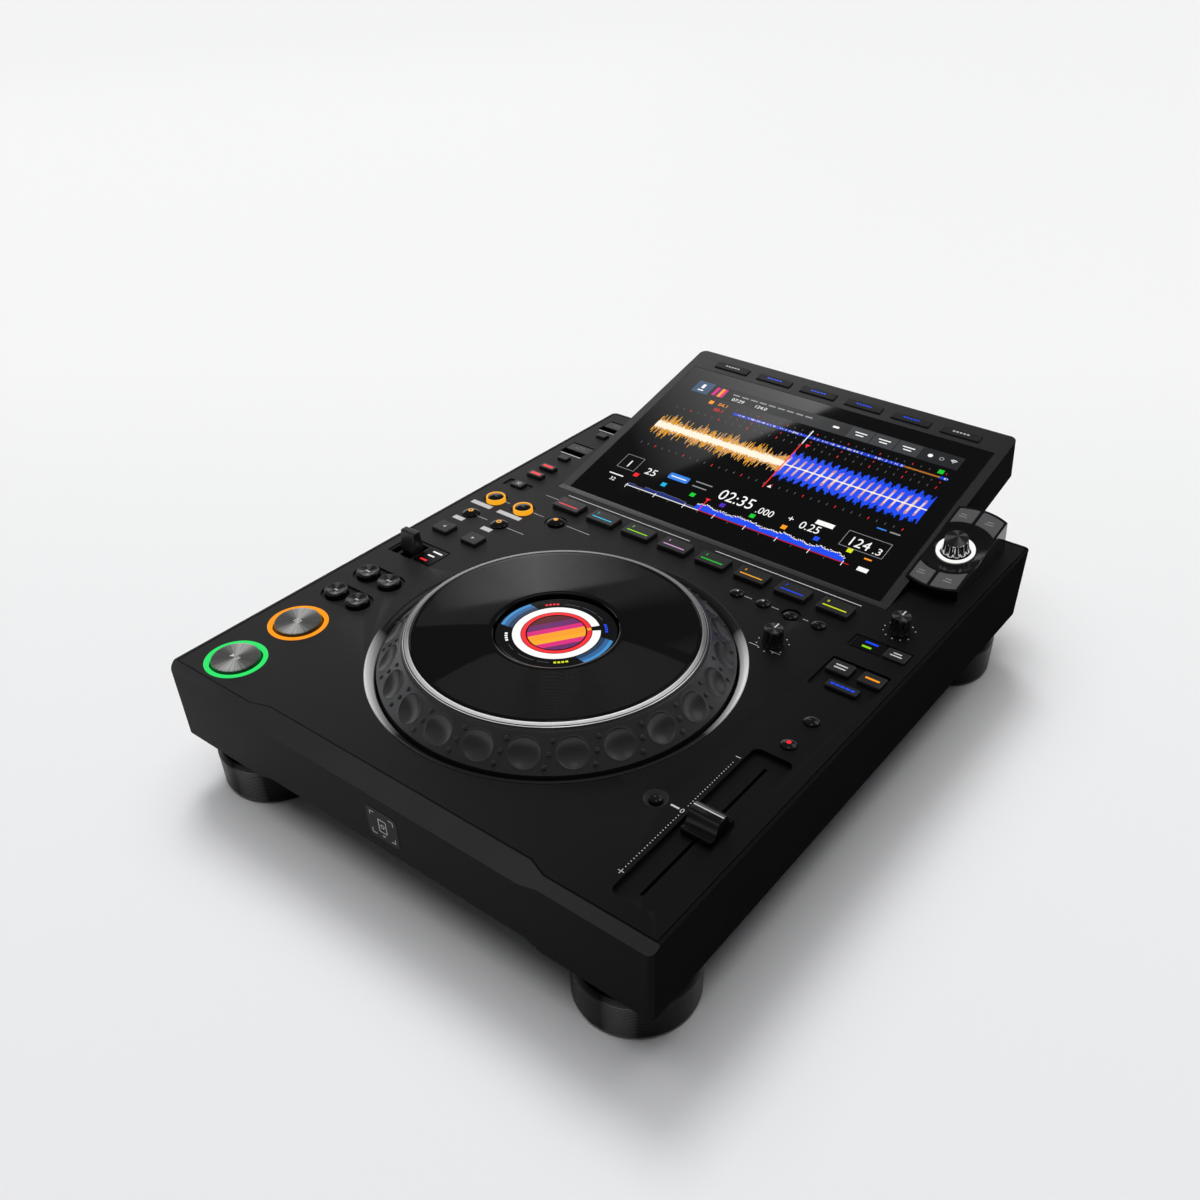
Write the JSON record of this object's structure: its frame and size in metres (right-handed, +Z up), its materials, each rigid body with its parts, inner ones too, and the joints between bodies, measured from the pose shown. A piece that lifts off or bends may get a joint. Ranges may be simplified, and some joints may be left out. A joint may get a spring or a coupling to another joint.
{
  "type": "tabletop dj media player",
  "caption": "Tabletop DJ media player with a large jog wheel, tilted touch screen, lit transport keys, hot cue keys, speed fader and USB ports.",
  "frame": {"origin": "middle of the overall outline, on the surface that the feet stand on", "axes": "+X to the user's right, +Y from the user towards the rear connectors, +Z up"},
  "size_m": [0.329, 0.4598, 0.1209],
  "materials": {
    "case_plastic": "fine satin texture",
    "pan_steel": "semi-matt black paint",
    "deck_panel": "fine sprayed grain, dark grey",
    "foot_metal": "turned, black anodised",
    "housing_grey": "fine satin grey",
    "screen_black": "polished black cover glass",
    "pod_plastic": "black with a polished dish",
    "bezel_silver": "satin turned",
    "post_alloy": "as machined",
    "eye_black": "polished round display window",
    "lens": "lit light guides and smoked windows",
    "board_green": "circuit board",
    "jack_black": "moulded connector bodies",
    "jog_grip": "fine satin grip ring",
    "platter_black": "black with fine concentric grooves",
    "fader_metal": "satin dark cap",
    "lever_metal": "satin grey blade",
    "knob_black": "fluted with a polished top",
    "dial_metal": "spun top, fluted side",
    "door_dark": "satin",
    "cap_metal": "spun metal cap",
    "key_dark": "satin dark key",
    "key_amber": "amber light guide, dark top",
    "key_red": "dark key with a red lit legend bar"
  },
  "bodies": {
    "root": {"case_shell": "case_plastic", "bottom_plate": "pan_steel", "top_plate": "deck_panel", "feet": "foot_metal", "display_housing": "housing_grey", "touch_screen": "screen_black", "browse_pod": "pod_plastic", "jog_bezel": "bezel_silver", "jog_post": "post_alloy", "jog_display": "eye_black", "indicator_windows": "lens", "control_board": "board_green", "main_board": "board_green", "rear_jacks": "jack_black"},
    "jog": {"jog_ring": "jog_grip", "jog_platter": "platter_black"},
    "tempo_fader": {"tempo_fader": "fader_metal"},
    "direction_lever": {"direction_lever": "lever_metal"},
    "jog_feel_knob": {"jog_feel_knob": "knob_black"},
    "speed_knob": {"speed_knob": "knob_black"},
    "browse_knob": {"browse_knob": "dial_metal"},
    "usb_door_front": {"usb_door_front": "door_dark"},
    "usb_door_rear": {"usb_door_rear": "door_dark"},
    "power_button": {"power_button": "key_dark"},
    "play_button": {"play_button": "cap_metal"},
    "cue_button": {"cue_button": "cap_metal"},
    "search_back_button": {"search_back_button": "cap_metal"},
    "search_forward_button": {"search_forward_button": "cap_metal"},
    "track_back_button": {"track_back_button": "cap_metal"},
    "track_forward_button": {"track_forward_button": "cap_metal"},
    "jump_back_key": {"jump_back_key": "key_dark"},
    "jump_forward_key": {"jump_forward_key": "key_dark"},
    "loop_short_key": {"loop_short_key": "key_dark"},
    "loop_long_key": {"loop_long_key": "key_dark"},
    "loop_in_key": {"loop_in_key": "key_amber"},
    "loop_out_key": {"loop_out_key": "key_amber"},
    "reloop_key": {"reloop_key": "key_dark"},
    "slip_key": {"slip_key": "key_dark"},
    "lit_keys": {"lit_keys": "key_red"},
    "usb_stop_keys": {"usb_stop_keys": "key_dark"},
    "call_keys": {"call_keys": "key_dark"},
    "delete_key": {"delete_key": "key_dark"},
    "memory_key": {"memory_key": "key_dark"},
    "jog_mode_key": {"jog_mode_key": "key_dark"},
    "beat_sync_key": {"beat_sync_key": "key_dark"},
    "key_sync_key": {"key_sync_key": "key_dark"},
    "master_key": {"master_key": "key_dark"},
    "tempo_range_key": {"tempo_range_key": "cap_metal"},
    "master_tempo_key": {"master_tempo_key": "cap_metal"},
    "tempo_reset_key": {"tempo_reset_key": "key_dark"},
    "hot_cue_1": {"hot_cue_1": "key_dark"},
    "hot_cue_2": {"hot_cue_2": "key_dark"},
    "hot_cue_3": {"hot_cue_3": "key_dark"},
    "hot_cue_4": {"hot_cue_4": "key_dark"},
    "hot_cue_5": {"hot_cue_5": "key_dark"},
    "hot_cue_6": {"hot_cue_6": "key_dark"},
    "hot_cue_7": {"hot_cue_7": "key_dark"},
    "hot_cue_8": {"hot_cue_8": "key_dark"},
    "screen_keys": {"screen_keys": "key_dark"},
    "browse_keys": {"browse_keys": "key_dark"}
  },
  "joints": [
    {"name": "jog_spin", "type": "hinge", "parent": "root", "child": "jog", "pos_m": [0, -0.09549, 0.0805], "axis": [0, 0, 1], "continuous": true},
    {"name": "tempo_slide", "type": "slide", "parent": "root", "child": "tempo_fader", "axis": [0, 1, 0], "range_m": [-0.047, 0.047]},
    {"name": "direction_tilt", "type": "hinge", "parent": "root", "child": "direction_lever", "pos_m": [-0.1436, -0.06538, 0.0665], "axis": [1, 0, 0], "range_deg": [-12, 12]},
    {"name": "jog_feel_turn", "type": "hinge", "parent": "root", "child": "jog_feel_knob", "pos_m": [0.0893, -0.01639, 0.0805], "axis": [0, 0, 1], "range_deg": [-150, 150]},
    {"name": "speed_turn", "type": "hinge", "parent": "root", "child": "speed_knob", "pos_m": [0.14, 0.03662, 0.0805], "axis": [0, 0, 1], "range_deg": [-150, 150]},
    {"name": "browse_turn", "type": "hinge", "parent": "root", "child": "browse_knob", "pos_m": [0.1355, 0.11444, 0.09454], "axis": [0, -0.2351, 0.972], "continuous": true},
    {"name": "door_front_flip", "type": "hinge", "parent": "root", "child": "usb_door_front", "pos_m": [-0.1475, 0.10781, 0.079], "axis": [-1, 0, 0], "range_deg": [0, 90]},
    {"name": "door_rear_flip", "type": "hinge", "parent": "root", "child": "usb_door_rear", "pos_m": [-0.1475, 0.15132, 0.079], "axis": [-1, 0, 0], "range_deg": [0, 90]},
    {"name": "power_press", "type": "slide", "parent": "root", "child": "power_button", "axis": [0, -1, 0], "range_m": [0, 0.001], "stiffness_N_per_m": 150, "springref_m": -0.001},
    {"name": "play_press", "type": "slide", "parent": "root", "child": "play_button", "axis": [0, 0, -1], "range_m": [0, 0.001], "stiffness_N_per_m": 400, "springref_m": -0.001},
    {"name": "cue_press", "type": "slide", "parent": "root", "child": "cue_button", "axis": [0, 0, -1], "range_m": [0, 0.001], "stiffness_N_per_m": 400, "springref_m": -0.001},
    {"name": "search_back_press", "type": "slide", "parent": "root", "child": "search_back_button", "axis": [0, 0, -1], "range_m": [0, 0.001], "stiffness_N_per_m": 250, "springref_m": -0.001},
    {"name": "search_forward_press", "type": "slide", "parent": "root", "child": "search_forward_button", "axis": [0, 0, -1], "range_m": [0, 0.001], "stiffness_N_per_m": 250, "springref_m": -0.001},
    {"name": "track_back_press", "type": "slide", "parent": "root", "child": "track_back_button", "axis": [0, 0, -1], "range_m": [0, 0.001], "stiffness_N_per_m": 250, "springref_m": -0.001},
    {"name": "track_forward_press", "type": "slide", "parent": "root", "child": "track_forward_button", "axis": [0, 0, -1], "range_m": [0, 0.001], "stiffness_N_per_m": 250, "springref_m": -0.001},
    {"name": "jump_back_press", "type": "slide", "parent": "root", "child": "jump_back_key", "axis": [0, 0, -1], "range_m": [0, 0.001], "stiffness_N_per_m": 150, "springref_m": -0.001},
    {"name": "jump_forward_press", "type": "slide", "parent": "root", "child": "jump_forward_key", "axis": [0, 0, -1], "range_m": [0, 0.001], "stiffness_N_per_m": 150, "springref_m": -0.001},
    {"name": "loop_short_press", "type": "slide", "parent": "root", "child": "loop_short_key", "axis": [0, 0, -1], "range_m": [0, 0.001], "stiffness_N_per_m": 150, "springref_m": -0.001},
    {"name": "loop_long_press", "type": "slide", "parent": "root", "child": "loop_long_key", "axis": [0, 0, -1], "range_m": [0, 0.001], "stiffness_N_per_m": 150, "springref_m": -0.001},
    {"name": "loop_in_press", "type": "slide", "parent": "root", "child": "loop_in_key", "axis": [0, 0, -1], "range_m": [0, 0.001], "stiffness_N_per_m": 150, "springref_m": -0.001},
    {"name": "loop_out_press", "type": "slide", "parent": "root", "child": "loop_out_key", "axis": [0, 0, -1], "range_m": [0, 0.001], "stiffness_N_per_m": 150, "springref_m": -0.001},
    {"name": "reloop_press", "type": "slide", "parent": "root", "child": "reloop_key", "axis": [0, 0, -1], "range_m": [0, 0.001], "stiffness_N_per_m": 150, "springref_m": -0.001},
    {"name": "slip_press", "type": "slide", "parent": "root", "child": "slip_key", "axis": [0, 0, -1], "range_m": [0, 0.001], "stiffness_N_per_m": 150, "springref_m": -0.001},
    {"name": "lits_press", "type": "slide", "parent": "root", "child": "lit_keys", "axis": [0, 0, -1], "range_m": [0, 0.001], "stiffness_N_per_m": 200, "springref_m": -0.001},
    {"name": "usb_stops_press", "type": "slide", "parent": "root", "child": "usb_stop_keys", "axis": [0, 0, -1], "range_m": [0, 0.001], "stiffness_N_per_m": 150, "springref_m": -0.001},
    {"name": "calls_press", "type": "slide", "parent": "root", "child": "call_keys", "axis": [0, 0, -1], "range_m": [0, 0.001], "stiffness_N_per_m": 150, "springref_m": -0.001},
    {"name": "delete_press", "type": "slide", "parent": "root", "child": "delete_key", "axis": [0, 0, -1], "range_m": [0, 0.001], "stiffness_N_per_m": 150, "springref_m": -0.001},
    {"name": "memory_press", "type": "slide", "parent": "root", "child": "memory_key", "axis": [0, 0, -1], "range_m": [0, 0.001], "stiffness_N_per_m": 150, "springref_m": -0.001},
    {"name": "jog_mode_press", "type": "slide", "parent": "root", "child": "jog_mode_key", "axis": [0, 0, -1], "range_m": [0, 0.001], "stiffness_N_per_m": 150, "springref_m": -0.001},
    {"name": "beat_sync_press", "type": "slide", "parent": "root", "child": "beat_sync_key", "axis": [0, 0, -1], "range_m": [0, 0.001], "stiffness_N_per_m": 150, "springref_m": -0.001},
    {"name": "key_sync_press", "type": "slide", "parent": "root", "child": "key_sync_key", "axis": [0, 0, -1], "range_m": [0, 0.001], "stiffness_N_per_m": 150, "springref_m": -0.001},
    {"name": "master_press", "type": "slide", "parent": "root", "child": "master_key", "axis": [0, 0, -1], "range_m": [0, 0.001], "stiffness_N_per_m": 150, "springref_m": -0.001},
    {"name": "tempo_range_press", "type": "slide", "parent": "root", "child": "tempo_range_key", "axis": [0, 0, -1], "range_m": [0, 0.001], "stiffness_N_per_m": 150, "springref_m": -0.001},
    {"name": "master_tempo_press", "type": "slide", "parent": "root", "child": "master_tempo_key", "axis": [0, 0, -1], "range_m": [0, 0.001], "stiffness_N_per_m": 150, "springref_m": -0.001},
    {"name": "tempo_reset_press", "type": "slide", "parent": "root", "child": "tempo_reset_key", "axis": [0, 0, -1], "range_m": [0, 0.001], "stiffness_N_per_m": 150, "springref_m": -0.001},
    {"name": "hot_cue_1_press", "type": "slide", "parent": "root", "child": "hot_cue_1", "axis": [0, 0, -1], "range_m": [0, 0.001], "stiffness_N_per_m": 200, "springref_m": -0.001},
    {"name": "hot_cue_2_press", "type": "slide", "parent": "root", "child": "hot_cue_2", "axis": [0, 0, -1], "range_m": [0, 0.001], "stiffness_N_per_m": 200, "springref_m": -0.001},
    {"name": "hot_cue_3_press", "type": "slide", "parent": "root", "child": "hot_cue_3", "axis": [0, 0, -1], "range_m": [0, 0.001], "stiffness_N_per_m": 200, "springref_m": -0.001},
    {"name": "hot_cue_4_press", "type": "slide", "parent": "root", "child": "hot_cue_4", "axis": [0, 0, -1], "range_m": [0, 0.001], "stiffness_N_per_m": 200, "springref_m": -0.001},
    {"name": "hot_cue_5_press", "type": "slide", "parent": "root", "child": "hot_cue_5", "axis": [0, 0, -1], "range_m": [0, 0.001], "stiffness_N_per_m": 200, "springref_m": -0.001},
    {"name": "hot_cue_6_press", "type": "slide", "parent": "root", "child": "hot_cue_6", "axis": [0, 0, -1], "range_m": [0, 0.001], "stiffness_N_per_m": 200, "springref_m": -0.001},
    {"name": "hot_cue_7_press", "type": "slide", "parent": "root", "child": "hot_cue_7", "axis": [0, 0, -1], "range_m": [0, 0.001], "stiffness_N_per_m": 200, "springref_m": -0.001},
    {"name": "hot_cue_8_press", "type": "slide", "parent": "root", "child": "hot_cue_8", "axis": [0, 0, -1], "range_m": [0, 0.001], "stiffness_N_per_m": 200, "springref_m": -0.001},
    {"name": "screen_press", "type": "slide", "parent": "root", "child": "screen_keys", "axis": [0, 0.2351, -0.972], "range_m": [0, 0.0006], "stiffness_N_per_m": 250, "springref_m": -0.001},
    {"name": "browse_press", "type": "slide", "parent": "root", "child": "browse_keys", "axis": [0, 0.2351, -0.972], "range_m": [0, 0.0006], "stiffness_N_per_m": 250, "springref_m": -0.001}
  ]
}
